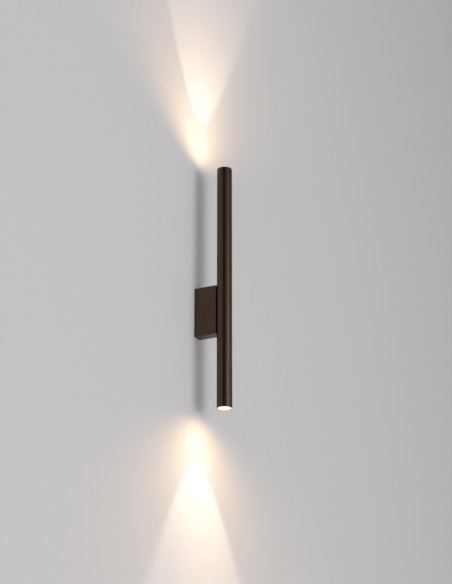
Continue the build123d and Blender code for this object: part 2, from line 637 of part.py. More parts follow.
# Light engines: the same pieces at both ends, each placed from the tube's mouth inwards
for end, end_z, inward in ends:
    mouth = Plane(origin=(0, tube_axis_y, end_z), x_dir=(0, 1, 0), z_dir=(0, 0, inward))
    section = Plane(origin=mouth.origin, x_dir=mouth.x_dir, z_dir=mouth.x_dir.cross(mouth.z_dir))
    mouth_axis = Axis(mouth.origin, mouth.z_dir)
    screw_places = ((board_screw_circle, 0), (-board_screw_circle, 0))
    solder_places = ((0, solder_circle), (0, -solder_circle))
    cover_radius = tube_radius - tube_end_rim - slip_clearance

    with BuildPart() as cover_disc:
        with BuildSketch(mouth.offset(cover_recess)):
            Circle(cover_radius)
        extrude(amount=cover_thickness)
    keep(cover_disc, f"{end}_cover_disc")

    with BuildPart() as cover_gasket:
        with BuildSketch(mouth.offset(cover_recess + cover_thickness)):
            Circle(cover_radius)
            Circle(cover_radius - gasket_width, mode=Mode.SUBTRACT)
        extrude(amount=gasket_thickness)
    keep(cover_gasket, f"{end}_cover_gasket")

    holder_radius = tube_bore_radius - slip_clearance
    holder_inner_radius = holder_radius - holder_wall
    lip_radius = holder_radius - holder_lip
    base_depth = board_front_depth - holder_base
    with BuildPart() as lens_holder:
        with BuildSketch(section):
            with BuildLine():
                Polyline(
                    (holder_radius, holder_rim_depth),
                    (holder_radius, board_front_depth),
                    (holder_hole_radius, board_front_depth),
                    (holder_hole_radius, base_depth),
                    (holder_inner_radius, base_depth),
                    (holder_inner_radius, lens_ledge_depth),
                    (lip_radius, lens_ledge_depth),
                    (lip_radius, holder_rim_depth),
                    close=True,
                )
            make_face()
        revolve(axis=mouth_axis)
        with BuildSketch(mouth.offset(base_depth)):
            with Locations(*screw_places):
                Circle(board_screw_diameter / 2 + screw_clearance)
            with Locations(*solder_places):
                Circle(solder_relief_radius)
        extrude(amount=holder_base, mode=Mode.SUBTRACT)
    keep(lens_holder, f"{end}_lens_holder")

    lens_flange_radius = lip_radius - bush_clearance
    lens_body_radius = holder_inner_radius - lens_shoulder
    with BuildPart() as lens:
        with BuildSketch(section):
            with BuildLine():
                Polyline(
                    (0, lens_front_depth),
                    (lens_flange_radius, lens_front_depth),
                    (lens_flange_radius, lens_ledge_depth),
                    (lens_body_radius, lens_ledge_depth),
                    (lens_tip_radius, lens_tip_depth),
                    (lens_cavity_radius, lens_tip_depth),
                    (lens_cavity_radius, lens_tip_depth - lens_cavity_depth),
                    (0, lens_tip_depth - lens_cavity_depth),
                    close=True,
                )
            make_face()
        revolve(axis=mouth_axis)
    keep(lens, f"{end}_lens")

    with BuildPart() as led_chip:
        with BuildSketch(mouth.offset(board_front_depth)):
            Circle(chip_radius)
        extrude(amount=-chip_height)
    keep(led_chip, f"{end}_led_chip")

    with BuildPart() as led_board:
        with BuildSketch(mouth.offset(board_front_depth)):
            Circle(led_board_radius)
            with Locations(*screw_places):
                Circle(board_screw_diameter / 2 + screw_clearance, mode=Mode.SUBTRACT)
            with Locations(*solder_places):
                Circle(lead_hole_radius, mode=Mode.SUBTRACT)
        extrude(amount=led_board_thickness)
    keep(led_board, f"{end}_led_board")

    with BuildPart() as thermal_pad:
        with BuildSketch(mouth.offset(board_back_depth)):
            Circle(led_board_radius)
            with Locations(*screw_places):
                Circle(board_screw_diameter / 2 + screw_clearance, mode=Mode.SUBTRACT)
            with Locations(*solder_places):
                Circle(lead_hole_radius, mode=Mode.SUBTRACT)
        extrude(amount=thermal_pad_thickness)
    keep(thermal_pad, f"{end}_thermal_pad")

    with BuildPart() as heat_sink:
        with BuildSketch(mouth.offset(sink_front_depth)):
            Circle(tube_bore_radius - slip_clearance)
            with Locations(*solder_places):
                Circle(lead_hole_radius, mode=Mode.SUBTRACT)
        extrude(amount=sink_length)
        with BuildSketch(mouth.offset(sink_front_depth)):
            with Locations(*screw_places):
                Circle(board_screw_diameter / 2 + screw_clearance)
        extrude(amount=board_screw_grip + thread_floor, mode=Mode.SUBTRACT)
        with BuildSketch(mouth.offset(sink_front_depth + sink_face)):
            Circle(sink_bore_radius)
        extrude(amount=sink_length - sink_face, mode=Mode.SUBTRACT)
        with BuildSketch(Plane.XZ.offset(-tube_axis_y)):
            with Locations((0, end_z + inward * set_depth)):
                Circle(set_diameter / 2 + screw_clearance)
        extrude(amount=-tube_radius, mode=Mode.SUBTRACT)
    keep(heat_sink, f"{end}_heat_sink")

    set_tip_y = tube_axis_y + tube_radius - set_recess - set_length
    set_seat = Plane(origin=(0, set_tip_y, end_z + inward * set_depth), z_dir=(0, 1, 0))
    set_screw = socket_screw(set_seat, set_diameter / 2, set_length, set_socket_width, set_socket_depth)
    keep(set_screw, f"{end}_heat_sink_screw")

    with BuildPart() as board_screws:
        with BuildSketch(mouth.offset(base_depth)):
            with Locations(*screw_places):
                Circle(board_screw_diameter / 2)
        extrude(amount=sink_front_depth - base_depth + board_screw_grip)
        with BuildSketch(mouth.offset(base_depth)):
            with Locations(*screw_places):
                Circle(board_screw_head_diameter / 2)
        extrude(amount=-board_screw_head_height)
    keep(board_screws, f"{end}_board_screws")

# Leads inside the box: supply to the driver, and earth to the box
clamp_mouth_z = terminal_bottom + clamp_inset + lead_tail
for name, side in (("live_lead", -1), ("neutral_lead", 1)):
    lead(
        name,
        [
            (side * mains_offset, lead_exit_y, driver_top - lead_tail),
            (side * mains_offset, lead_exit_y, driver_top + lead_rise),
            (side * pole_pitch, terminal_wire_y, terminal_bottom - lead_rise),
            (side * pole_pitch, terminal_wire_y, clamp_mouth_z),
        ],
        mains_lead_radius,
    )

lead(
    "earth_lead",
    [
        (0, terminal_wire_y, clamp_mouth_z),
        (0, terminal_wire_y, terminal_bottom - earth_lead_bend),
        (0, tag_barrel_y, tag_top + earth_lead_bend),
        (0, tag_barrel_y, tag_top - lead_tail),
    ],
    mains_lead_radius,
)

# Leads from the driver into the tube, one up and one down, and the link between the light engines
solder_top = tube_top - board_front_depth + solder_height
solder_bottom = tube_bottom + board_front_depth - solder_height
lead_turn_y = tube_axis_y - lead_turn
for name, side, way, solder_z in (("red_lead", -1, 1, solder_top), ("black_lead", 1, -1, solder_bottom)):
    lead(
        name,
        [
            (side * lead_offset, lead_exit_y, driver_top - lead_tail),
            (side * lead_offset, lead_exit_y, wire_z),
            (side * lead_offset, lead_turn_y, wire_z),
            (side * lead_offset, lead_turn_y, wire_z + way * lead_climb),
            (-solder_circle, tube_axis_y, wire_z + way * (lead_climb + lead_cross)),
            (-solder_circle, tube_axis_y, solder_z),
        ],
        led_lead_radius,
    )

lead(
    "link_lead",
    [
        (solder_circle, tube_axis_y, solder_top),
        (solder_circle, tube_axis_y, tube_top - lead_straight),
        (solder_circle - lead_slack, tube_axis_y - lead_slack, (tube_top + tube_bottom) / 2),
        (solder_circle, tube_axis_y, tube_bottom + lead_straight),
        (solder_circle, tube_axis_y, solder_bottom),
    ],
    led_lead_radius,
)
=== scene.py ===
import json
from math import ceil, cos, pi, radians, tan, tau

import bmesh
import bpy
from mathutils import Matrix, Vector


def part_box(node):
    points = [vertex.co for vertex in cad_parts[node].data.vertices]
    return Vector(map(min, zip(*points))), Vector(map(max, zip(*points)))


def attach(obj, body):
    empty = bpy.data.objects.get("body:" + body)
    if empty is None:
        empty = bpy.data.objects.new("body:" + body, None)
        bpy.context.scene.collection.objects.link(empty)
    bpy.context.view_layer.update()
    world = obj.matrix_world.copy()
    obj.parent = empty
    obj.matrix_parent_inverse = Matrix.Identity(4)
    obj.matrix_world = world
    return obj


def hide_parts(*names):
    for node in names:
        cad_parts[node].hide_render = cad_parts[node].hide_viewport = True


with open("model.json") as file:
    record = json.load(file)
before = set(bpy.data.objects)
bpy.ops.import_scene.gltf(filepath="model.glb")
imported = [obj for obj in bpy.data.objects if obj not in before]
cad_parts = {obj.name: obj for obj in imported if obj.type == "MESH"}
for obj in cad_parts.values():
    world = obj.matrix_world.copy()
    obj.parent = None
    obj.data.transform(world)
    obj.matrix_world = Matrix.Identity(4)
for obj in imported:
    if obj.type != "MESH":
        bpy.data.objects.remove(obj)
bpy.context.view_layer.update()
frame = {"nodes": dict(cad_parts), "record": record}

# Linear wall light: looks of a slim bronze tube that shines up and down from a narrow wall box.
# Metres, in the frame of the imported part: X along the wall, +Y into the wall, +Z up.

MM = 0.001
UP = Vector((0, 0, 1))
DOWN = -UP
INTO_WALL = Vector((0, 1, 0))
OFF_WALL = -INTO_WALL

# Fits around screws, bushes and the tube
SCREW_GAP = 0.15 * MM
PASSAGE_GAP = 0.25 * MM
BUSH_GAP = 0.1 * MM
SADDLE_GAP = 0.15 * MM

# Tube and cover discs
TUBE_RIM = 1.0 * MM
TUBE_WALL = 1.5 * MM
TUBE_ROUNDING = 0.3 * MM
DISC_ROUNDING = 0.25 * MM

# Wall box
BOX_SIDE_WALL = 2.0 * MM
BOX_END_WALL = 4.0 * MM
BOX_FRONT_WALL = 6.0 * MM
BOX_ROUNDING = 0.6 * MM
BOX_INNER_ROUNDING = 1.0 * MM
JOINT_THREAD_RADIUS = 2.0 * MM
WIRE_BUSH_RADIUS = 3.2 * MM
EARTH_THREAD_RADIUS = 1.5 * MM
TERMINAL_POLES = 3
PEG_RADIUS = 1.4 * MM
BLIND_DEPTH = 3.4 * MM
OVERCUT = 1.0 * MM

# Wall bracket and its bush
PLATE_THICKNESS = 1.5 * MM
PLATE_BEND = 2.5 * MM
PLATE_ROUNDING = 0.15 * MM
PLATE_CUTTER = 6.0 * MM
SLOT_SPACING = 70 * MM
SLOT_WIDTH = 4.5 * MM
SLOT_LENGTH = 8 * MM
CABLE_BORE_RADIUS = 4.0 * MM
CABLE_BARREL_RADIUS = 4.9 * MM
CABLE_ROUNDING = 0.35 * MM

# Grub screws
LOCK_PITCH = 0.7 * MM
LOCK_SOCKET = 2.0 * MM
SINK_PITCH = 0.5 * MM
SINK_SOCKET = 1.5 * MM
SOCKET_DEPTH = 1.6 * MM
THREAD_DEPTH = 0.61  # of the pitch
SPARE_TURNS = 2  # of thread, trimmed off flat at the ends

# Facets of round pieces and steps of rounded edges
TUBE_SIDES = 160
DISC_SIDES = 96
HOLE_SIDES = 48
HEX_SIDES = 6
THREAD_STEPS = 32
RIM_STEPS = 3
BOX_STEPS = 4
BEND_STEPS = 8
SHEET_STEPS = 2

# What counts as a sharp edge, as one point and as lying on a plane
SHARP_ANGLE = radians(35)
SAME_POINT = 0.001 * MM
SAME_PLANE = 0.01 * MM

# Modelling helpers


def only(piece):
    """Make a piece the one selected and active object."""
    bpy.ops.object.select_all(action="DESELECT")
    piece.select_set(True)
    bpy.context.view_layer.objects.active = piece


def added(name):
    """Name the object that was just added, and move its place into its mesh."""
    piece = bpy.context.object
    piece.name = name
    piece.data.name = name
    bpy.ops.object.transform_apply(location=True, rotation=True, scale=True)
    return piece


def copied(model, name, place, way):
    """A copy of an upright model, with a mesh of its own, set at a place and pointing a way."""
    only(model)
    bpy.ops.object.duplicate(linked=False)
    copy = bpy.context.object
    copy.rotation_euler = UP.rotation_difference(way).to_euler()
    copy.location = place
    return added(name)


def pick(piece, kind, test):
    """In edit mode, select only the verts, edges or faces whose middle passes the test."""
    bpy.ops.mesh.select_mode(type={"verts": "VERT", "edges": "EDGE", "faces": "FACE"}[kind])
    bpy.ops.mesh.select_all(action="DESELECT")
    mesh = bmesh.from_edit_mesh(piece.data)
    for part in getattr(mesh, kind):
        corners = [part.co] if kind == "verts" else [corner.co for corner in part.verts]
        part.select_set(test(sum(corners, Vector()) / len(corners)))
    bmesh.update_edit_mesh(piece.data)


def near(value, target):
    """True where a coordinate lies on a plane of the model."""
    return abs(value - target) < SAME_PLANE


def weld():
    """In edit mode, select everything and merge points that lie on each other."""
    bpy.ops.mesh.select_all(action="SELECT")
    bpy.ops.mesh.remove_doubles(threshold=SAME_POINT)


def modify(piece, kind, **settings):
    """Give a piece a modifier with these settings, and apply it."""
    only(piece)
    bpy.ops.object.modifier_add(type=kind)
    modifier = piece.modifiers[-1]
    for setting, value in settings.items():
        setattr(modifier, setting, value)
    bpy.ops.object.modifier_apply(modifier=modifier.name)


def soften(piece, width, steps):
    """Round every sharp edge of a piece."""
    modify(piece, "BEVEL", width=width, segments=steps, limit_method="ANGLE", angle_limit=SHARP_ANGLE)


def cut(piece, cutter):
    """Take a cutter's shape out of a piece."""
    modify(piece, "BOOLEAN", operation="DIFFERENCE", solver="EXACT", object=cutter)
    bpy.data.objects.remove(cutter)


def rod(middle, radius, length, along, sides):
    """A plain round or six-sided cutter."""
    bpy.ops.object.select_all(action="DESELECT")
    turn = UP.rotation_difference(along).to_euler()
    bpy.ops.mesh.primitive_cylinder_add(
        vertices=sides, radius=radius, depth=length, location=middle, rotation=turn
    )
    return added("cutter")


def drill(piece, middle, radius, length, along):
    """Cut a round hole, centred on its middle."""
    cut(piece, rod(middle, radius, length, along, HOLE_SIDES))


def drawn_line(name, spots):
    """A line of edges from spot to spot, in a new mesh that stays in edit mode."""
    bpy.ops.object.select_all(action="DESELECT")
    bpy.ops.mesh.primitive_plane_add(size=MM)
    line = added(name)
    bpy.ops.object.mode_set(mode="EDIT")
    bpy.ops.mesh.select_mode(type="VERT")
    bpy.ops.mesh.select_all(action="SELECT")
    bpy.ops.mesh.merge(type="CENTER")
    bpy.ops.transform.translate(value=spots[0])
    for before, after in zip(spots, spots[1:]):
        bpy.ops.mesh.extrude_region_move(TRANSFORM_OT_translate={"value": after - before})
    weld()
    return line


def turned(name, profile, centre, along, sides):
    """A round piece: a line through (radius, height) points, spun about an axis through the centre."""
    spots = [centre + Vector((radius, 0, 0)) + along * height for radius, height in profile]
    piece = drawn_line(name, spots)
    bpy.ops.mesh.spin(steps=sides, angle=tau, center=centre, axis=along)
    weld()
    bpy.ops.mesh.normals_make_consistent(inside=False)
    bpy.ops.object.mode_set(mode="OBJECT")
    return piece


def middle_of(node):
    """Middle of a node's box."""
    low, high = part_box(node)
    return (low + high) / 2


def half_width(node):
    """Half of a node's size along the wall, which is the radius of a round one."""
    low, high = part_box(node)
    return (high.x - low.x) / 2


def foot_of(node, way):
    """Middle of the end that a node stands on when it points this way."""
    low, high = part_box(node)
    length = abs((high - low).dot(way))
    return middle_of(node) - way * length / 2


def passages():
    """Heights and radii of the holes between box and tube, for the joint screws and the leads."""
    low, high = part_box("joint_screws")
    head = half_width("joint_screws")
    holes = [(height, JOINT_THREAD_RADIUS + PASSAGE_GAP) for height in (low.z + head, high.z - head)]
    holes.append((middle_of("wire_bush").z, WIRE_BUSH_RADIUS + BUSH_GAP))
    return holes


# Pieces that show: tube, cover discs, wall box, bracket, bush and grub screws


def tube_shell():
    """The round tube: rounded rims, seats for the cover discs, bore and the holes in its wall side."""
    low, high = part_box("tube")
    centre = Vector((0, (low.y + high.y) / 2, 0))
    radius = half_width("tube")
    rim = radius - TUBE_RIM
    bore = radius - TUBE_WALL
    seat = high.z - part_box("upper_cover_gasket")[0].z
    profile = [
        (radius, low.z),
        (radius, high.z),
        (rim, high.z),
        (rim, high.z - seat),
        (bore, high.z - seat),
        (bore, low.z + seat),
        (rim, low.z + seat),
        (rim, low.z),
        (radius, low.z),
    ]
    tube = turned("tube_shell", profile, centre, UP, TUBE_SIDES)
    bpy.ops.object.mode_set(mode="EDIT")
    pick(tube, "edges", lambda at: near(at.z, low.z) or near(at.z, high.z))
    bpy.ops.mesh.bevel(offset=TUBE_ROUNDING, segments=RIM_STEPS, affect="EDGES")
    bpy.ops.object.mode_set(mode="OBJECT")
    holes = passages()
    for node in ("upper_heat_sink_screw", "lower_heat_sink_screw"):
        holes.append((middle_of(node).z, half_width(node) + SCREW_GAP))
    for height, hole_radius in holes:
        drill(tube, centre + INTO_WALL * radius + UP * height, hole_radius, radius, INTO_WALL)
    return tube


def cover_disc(name, node):
    """Model of a frosted disc with a rounded edge."""
    low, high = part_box(node)
    radius = half_width(node)
    half = (high.z - low.z) / 2
    profile = [(0, -half), (radius, -half), (radius, half), (0, half)]
    disc = turned(name, profile, Vector(), UP, DISC_SIDES)
    soften(disc, DISC_ROUNDING, RIM_STEPS)
    return disc


def wall_box():
    """The narrow box: hollow from the wall side, with rounded edges and its cuts."""
    low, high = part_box("rear_box")
    size = high - low
    inner_width = size.x - 2 * BOX_SIDE_WALL
    inner_height = size.z - 2 * BOX_END_WALL
    inner_front = low.y + BOX_FRONT_WALL

    def inner_edge(at):
        in_corner = near(abs(at.x), inner_width / 2) and near(abs(at.z), inner_height / 2)
        return in_corner and not near(at.y, high.y)

    def outer_edge(at):
        in_corner = near(abs(at.x), high.x) and near(abs(at.z), high.z)
        return in_corner or near(at.y, low.y)

    bpy.ops.object.select_all(action="DESELECT")
    bpy.ops.mesh.primitive_cube_add(size=1, location=(low + high) / 2, scale=size)
    box = added("wall_box")
    bpy.ops.object.mode_set(mode="EDIT")
    pick(box, "faces", lambda at: near(at.y, high.y))
    bpy.ops.mesh.extrude_region_move()
    bpy.ops.transform.resize(
        value=(inner_width / size.x, 1, inner_height / size.z), center_override=(0, high.y, 0)
    )
    bpy.ops.mesh.extrude_region_move(TRANSFORM_OT_translate={"value": (0, inner_front - high.y, 0)})
    pick(box, "edges", inner_edge)
    bpy.ops.mesh.bevel(offset=BOX_INNER_ROUNDING, segments=BOX_STEPS, affect="EDGES")
    pick(box, "edges", outer_edge)
    bpy.ops.mesh.bevel(offset=BOX_ROUNDING, segments=BOX_STEPS, affect="EDGES")
    bpy.ops.object.mode_set(mode="OBJECT")
    cut_box(box)
    return box


def cut_box(box):
    """Cut the tube's saddle, the lock screws' bores, the passages to the tube and the blind holes."""
    low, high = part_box("rear_box")
    full_height = high.z - low.z + OVERCUT
    tube_axis = Vector((0, middle_of("tube").y, 0))
    cut(box, rod(tube_axis, half_width("tube") + SADDLE_GAP, full_height, UP, TUBE_SIDES))
    lock_axis = Vector((0, middle_of("upper_lock_screw").y, 0))
    drill(box, lock_axis, half_width("upper_lock_screw") + SCREW_GAP, full_height, UP)
    for height, radius in passages():
        middle = Vector((0, low.y + BOX_FRONT_WALL / 2, height))
        drill(box, middle, radius, BOX_FRONT_WALL + 2 * OVERCUT, INTO_WALL)
    peg_height = middle_of("terminal_block").z
    peg_side = half_width("terminal_block") / TERMINAL_POLES
    blind = [(0, middle_of("earth_screw").z, EARTH_THREAD_RADIUS + SCREW_GAP)]
    blind += [(side * peg_side, peg_height, PEG_RADIUS + BUSH_GAP) for side in (-1, 1)]
    blind_middle = low.y + BOX_FRONT_WALL + (OVERCUT - BLIND_DEPTH) / 2
    for across, height, radius in blind:
        drill(box, Vector((across, blind_middle, height)), radius, BLIND_DEPTH + OVERCUT, INTO_WALL)


def bracket_plate():
    """The wall bracket: sheet steel bent forward at both ends, with two wall slots and the cable hole."""
    low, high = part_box("wall_bracket")
    size = high - low
    bpy.ops.object.select_all(action="DESELECT")
    bpy.ops.mesh.primitive_plane_add(size=1, location=(0, high.y, 0), rotation=(pi / 2, 0, 0))
    plate = added("bracket_plate")
    bpy.ops.object.mode_set(mode="EDIT")
    bpy.ops.mesh.select_all(action="SELECT")
    bpy.ops.transform.resize(value=(size.x, 1, size.z), center_override=(0, high.y, 0))
    pick(plate, "edges", lambda at: near(abs(at.z), high.z))
    bpy.ops.mesh.extrude_region_move(TRANSFORM_OT_translate={"value": (0, -size.y, 0)})
    pick(plate, "edges", lambda at: near(abs(at.z), high.z) and near(at.y, high.y))
    bpy.ops.mesh.bevel(offset=PLATE_BEND, segments=BEND_STEPS, affect="EDGES")
    bpy.ops.object.mode_set(mode="OBJECT")
    modify(plate, "SOLIDIFY", thickness=PLATE_THICKNESS, offset=1, use_even_offset=True)
    for way in (DOWN, UP):
        cut(plate, wall_slot(Vector((0, high.y, 0)) + way * SLOT_SPACING / 2))
    hole = Vector((0, high.y, middle_of("cable_bush").z))
    drill(plate, hole, CABLE_BARREL_RADIUS + BUSH_GAP, PLATE_CUTTER, INTO_WALL)
    soften(plate, PLATE_ROUNDING, SHEET_STEPS)
    return plate


def wall_slot(middle):
    """Cutter of an upright slot: a rod whose upper and lower halves are pulled apart."""
    slot = rod(middle, SLOT_WIDTH / 2, PLATE_CUTTER, INTO_WALL, HOLE_SIDES)
    pull = (SLOT_LENGTH - SLOT_WIDTH) / 2
    bpy.ops.object.mode_set(mode="EDIT")
    pick(slot, "verts", lambda at: at.z > middle.z)
    bpy.ops.transform.translate(value=UP * pull)
    pick(slot, "verts", lambda at: at.z < middle.z)
    bpy.ops.transform.translate(value=DOWN * pull)
    bpy.ops.object.mode_set(mode="OBJECT")
    return slot


def cable_grommet():
    """The rubber bush in the bracket's cable hole, with its flange inside the box."""
    low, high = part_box("cable_bush")
    flange = half_width("cable_bush")
    length = high.y - low.y
    profile = [
        (CABLE_BORE_RADIUS, 0),
        (CABLE_BARREL_RADIUS, 0),
        (CABLE_BARREL_RADIUS, PLATE_THICKNESS),
        (flange, PLATE_THICKNESS),
        (flange, length),
        (CABLE_BORE_RADIUS, length),
        (CABLE_BORE_RADIUS, 0),
    ]
    centre = Vector((0, high.y, middle_of("cable_bush").z))
    bush = turned("cable_grommet", profile, centre, OFF_WALL, HOLE_SIDES)
    soften(bush, CABLE_ROUNDING, RIM_STEPS)
    return bush


def grub_screw(name, node, along, pitch, socket_width):
    """Model of a headless screw: one thread up its length, flat ends and a hexagon socket on top."""
    low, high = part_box(node)
    length = (high - low).dot(along)
    top = UP * length
    radius = half_width(node)
    root = radius - THREAD_DEPTH * pitch
    ridge = [Vector((root, 0, -pitch)), Vector((radius, 0, -pitch / 2)), Vector((root, 0, 0))]
    screw = drawn_line(name, ridge)
    bpy.ops.object.mode_set(mode="OBJECT")
    modify(
        screw,
        "SCREW",
        screw_offset=pitch,
        iterations=ceil(length / pitch) + SPARE_TURNS,
        steps=THREAD_STEPS,
        render_steps=THREAD_STEPS,
        use_merge_vertices=True,
    )
    bpy.ops.object.mode_set(mode="EDIT")
    weld()
    bpy.ops.mesh.bisect(plane_co=(0, 0, 0), plane_no=UP, use_fill=True, clear_inner=True)
    bpy.ops.mesh.select_all(action="SELECT")
    bpy.ops.mesh.bisect(plane_co=top, plane_no=UP, use_fill=True, clear_outer=True)
    bpy.ops.mesh.select_all(action="SELECT")
    bpy.ops.mesh.normals_make_consistent(inside=False)
    bpy.ops.object.mode_set(mode="OBJECT")
    socket_radius = socket_width / 2 / cos(pi / HEX_SIDES)
    cut(screw, rod(top, socket_radius, 2 * SOCKET_DEPTH, UP, HEX_SIDES))
    return screw


# Finishes

# A noise mostly lies between these values
NOISE_LOW = 0.3
NOISE_HIGH = 0.7


class Finish:
    """A material in the making: its shader, and nodes that vary it over the piece."""

    def __init__(self, name, **sockets):
        self.material = bpy.data.materials.new(name)
        self.material.use_nodes = True
        self.tree = self.material.node_tree
        self.shader = self.tree.nodes["Principled BSDF"]
        for socket, value in sockets.items():
            self.shader.inputs[socket.replace("_", " ")].default_value = value

    def add(self, kind, links=(), **values):
        """A node with some inputs linked and some set."""
        node = self.tree.nodes.new(kind)
        for socket, value in values.items():
            node.inputs[socket.replace("_", " ")].default_value = value
        for socket, output in dict(links).items():
            self.tree.links.new(output, node.inputs[socket])
        return node

    def place(self, scale=(1, 1, 1), shift=(0, 0, 0)):
        """Place on the piece, in metres, stretched or shifted."""
        spot = self.add("ShaderNodeTexCoord").outputs["Object"]
        mapping = self.add("ShaderNodeMapping", {"Vector": spot}, Scale=scale, Location=shift)
        return mapping.outputs["Vector"]

    def from_axis(self, scale=(1, 1, 1)):
        """Place on the piece, measured from the tube's axis."""
        return self.place(scale, shift=(0, -middle_of("tube").y, 0))

    def noise(self, size, detail=2, stretch=(1, 1, 1)):
        """Soft random patches of about this size."""
        place = self.place(scale=[side / size for side in stretch])
        return self.add("ShaderNodeTexNoise", {"Vector": place}, Scale=1, Detail=detail).outputs[0]

    def cells(self, size):
        """Random cells of about this size."""
        return self.add("ShaderNodeTexVoronoi", {"Vector": self.place()}, Scale=1 / size)

    def between(self, factor, low, high, start=NOISE_LOW, end=NOISE_HIGH):
        """A number that follows the factor from low to high."""
        mapped = self.add(
            "ShaderNodeMapRange", {"Value": factor}, From_Min=start, From_Max=end, To_Min=low, To_Max=high
        )
        return mapped.outputs["Result"]

    def tones(self, factor, *stops):
        """A colour that follows the factor through (position, colour) stops."""
        ramp = self.add("ShaderNodeValToRGB", {"Fac": factor})
        elements = ramp.color_ramp.elements
        while len(elements) < len(stops):
            elements.new(1)
        for element, (position, colour) in zip(elements, stops):
            element.position = position
            element.color = (*colour, 1)
        return ramp.outputs["Color"]

    def mottled(self, noise, dark, light):
        """A colour that follows a noise from dark to light."""
        return self.tones(noise, (NOISE_LOW, dark), (NOISE_HIGH, light))

    def feed(self, socket, output):
        """Link an output to the shader."""
        self.tree.links.new(output, self.shader.inputs[socket])

    def relief(self, height, depth, strength):
        """Raise the surface by a height pattern."""
        bump = self.add("ShaderNodeBump", {"Height": height}, Distance=depth, Strength=strength)
        self.feed("Normal", bump.outputs["Normal"])


def bronze():
    """Dark bronze satin coat on aluminium: fine grain with faint clouds."""
    finish = Finish("bronze_finish", Metallic=0.95)
    clouds = finish.noise(size=14 * MM, detail=3)
    grain = finish.noise(size=0.45 * MM)
    finish.feed("Base Color", finish.mottled(clouds, (0.085, 0.054, 0.036), (0.097, 0.063, 0.043)))
    finish.feed("Roughness", finish.between(grain, low=0.25, high=0.33))
    finish.relief(grain, depth=0.02 * MM, strength=0.5)
    return finish.material


def frosted_cover():
    """Frosted disc lit from behind: near white in the middle, warmer towards its edge."""
    finish = Finish("frosted_cover", Roughness=0.45, Emission_Strength=1.0)
    distance = finish.add("ShaderNodeVectorMath", {0: finish.from_axis(scale=(1, 1, 0))})
    distance.operation = "LENGTH"
    edge = half_width("upper_cover_disc")
    share = finish.between(distance.outputs["Value"], low=0, high=1, start=0, end=edge)
    finish.feed("Emission Color", finish.tones(share, (0.2, (1.0, 0.71, 0.63)), (1.0, (1.0, 0.63, 0.48))))
    frost = finish.noise(size=0.3 * MM)
    finish.feed("Base Color", finish.mottled(frost, (0.44, 0.41, 0.37), (0.52, 0.49, 0.44)))
    finish.relief(frost, depth=0.01 * MM, strength=0.4)
    return finish.material


def zinc_plated_steel():
    """Zinc plate: faint spangle and rolling lines."""
    finish = Finish("zinc_plated_steel", Metallic=1.0)
    spangle = finish.cells(size=3 * MM).outputs["Color"]
    lines = finish.noise(size=2 * MM, stretch=(6, 6, 0.5))
    finish.feed("Base Color", finish.tones(spangle, (0.2, (0.50, 0.51, 0.52)), (0.8, (0.62, 0.63, 0.63))))
    finish.feed("Roughness", finish.between(lines, low=0.30, high=0.44))
    finish.relief(lines, depth=0.01 * MM, strength=0.4)
    return finish.material


def metal(name, dark, light, rough):
    """A plain metal with a fine machined grain."""
    finish = Finish(name, Metallic=1.0)
    grain = finish.noise(size=0.6 * MM, detail=3)
    finish.feed("Base Color", finish.mottled(grain, dark, light))
    finish.feed("Roughness", finish.between(grain, low=rough - 0.06, high=rough + 0.08))
    finish.relief(grain, depth=0.01 * MM, strength=0.3)
    return finish.material


def bare_aluminium():
    """Turned aluminium: fine rings around the tube's axis."""
    finish = Finish("bare_aluminium", Metallic=1.0)
    wave = finish.add(
        "ShaderNodeTexWave", {"Vector": finish.from_axis()}, Scale=1 / (2 * MM), Distortion=0.6
    )
    wave.wave_type = "RINGS"
    wave.rings_direction = "Z"
    rings = wave.outputs["Fac"]
    clouds = finish.noise(size=4 * MM)
    finish.feed("Base Color", finish.mottled(clouds, (0.66, 0.67, 0.68), (0.76, 0.76, 0.77)))
    finish.feed("Roughness", finish.between(rings, low=0.28, high=0.40, start=0, end=1))
    finish.relief(rings, depth=0.01 * MM, strength=0.3)
    return finish.material


def moulded(name, dark, light, rough, grain=0.5 * MM):
    """Moulded plastic or rubber with a fine even grain."""
    finish = Finish(name)
    texture = finish.noise(size=grain, detail=3)
    finish.feed("Base Color", finish.mottled(texture, dark, light))
    finish.feed("Roughness", finish.between(texture, low=rough - 0.05, high=rough + 0.05))
    finish.relief(texture, depth=0.02 * MM, strength=0.4)
    return finish.material


def clear_lens():
    """Clear acrylic with a faint haze."""
    finish = Finish("clear_lens", Base_Color=(0.95, 0.96, 0.96, 1), Transmission_Weight=1.0, IOR=1.49)
    haze = finish.noise(size=2 * MM)
    finish.feed("Roughness", finish.between(haze, low=0.02, high=0.08))
    return finish.material


def led_phosphor():
    """Phosphor over the LED dice, lit."""
    finish = Finish("led_phosphor", Roughness=0.5, Emission_Strength=1.5)
    dots = finish.cells(size=0.9 * MM).outputs["Distance"]
    finish.feed("Base Color", finish.tones(dots, (0.0, (0.95, 0.72, 0.10)), (0.6, (0.85, 0.58, 0.08))))
    finish.feed("Emission Color", finish.tones(dots, (0.0, (1.0, 0.86, 0.55)), (0.6, (1.0, 0.72, 0.35))))
    return finish.material


def green_board():
    """Circuit board: green lacquer over copper tracks."""
    finish = Finish("green_board")
    tracks = finish.add(
        "ShaderNodeTexBrick",
        {"Vector": finish.place()},
        Scale=1 / (6 * MM),
        Mortar_Size=0.06,
        Color1=(0.016, 0.11, 0.045, 1),
        Color2=(0.020, 0.13, 0.055, 1),
        Mortar=(0.05, 0.22, 0.08, 1),
    )
    finish.feed("Base Color", tracks.outputs["Color"])
    finish.feed("Roughness", finish.between(tracks.outputs["Fac"], low=0.32, high=0.42, start=0, end=1))
    return finish.material


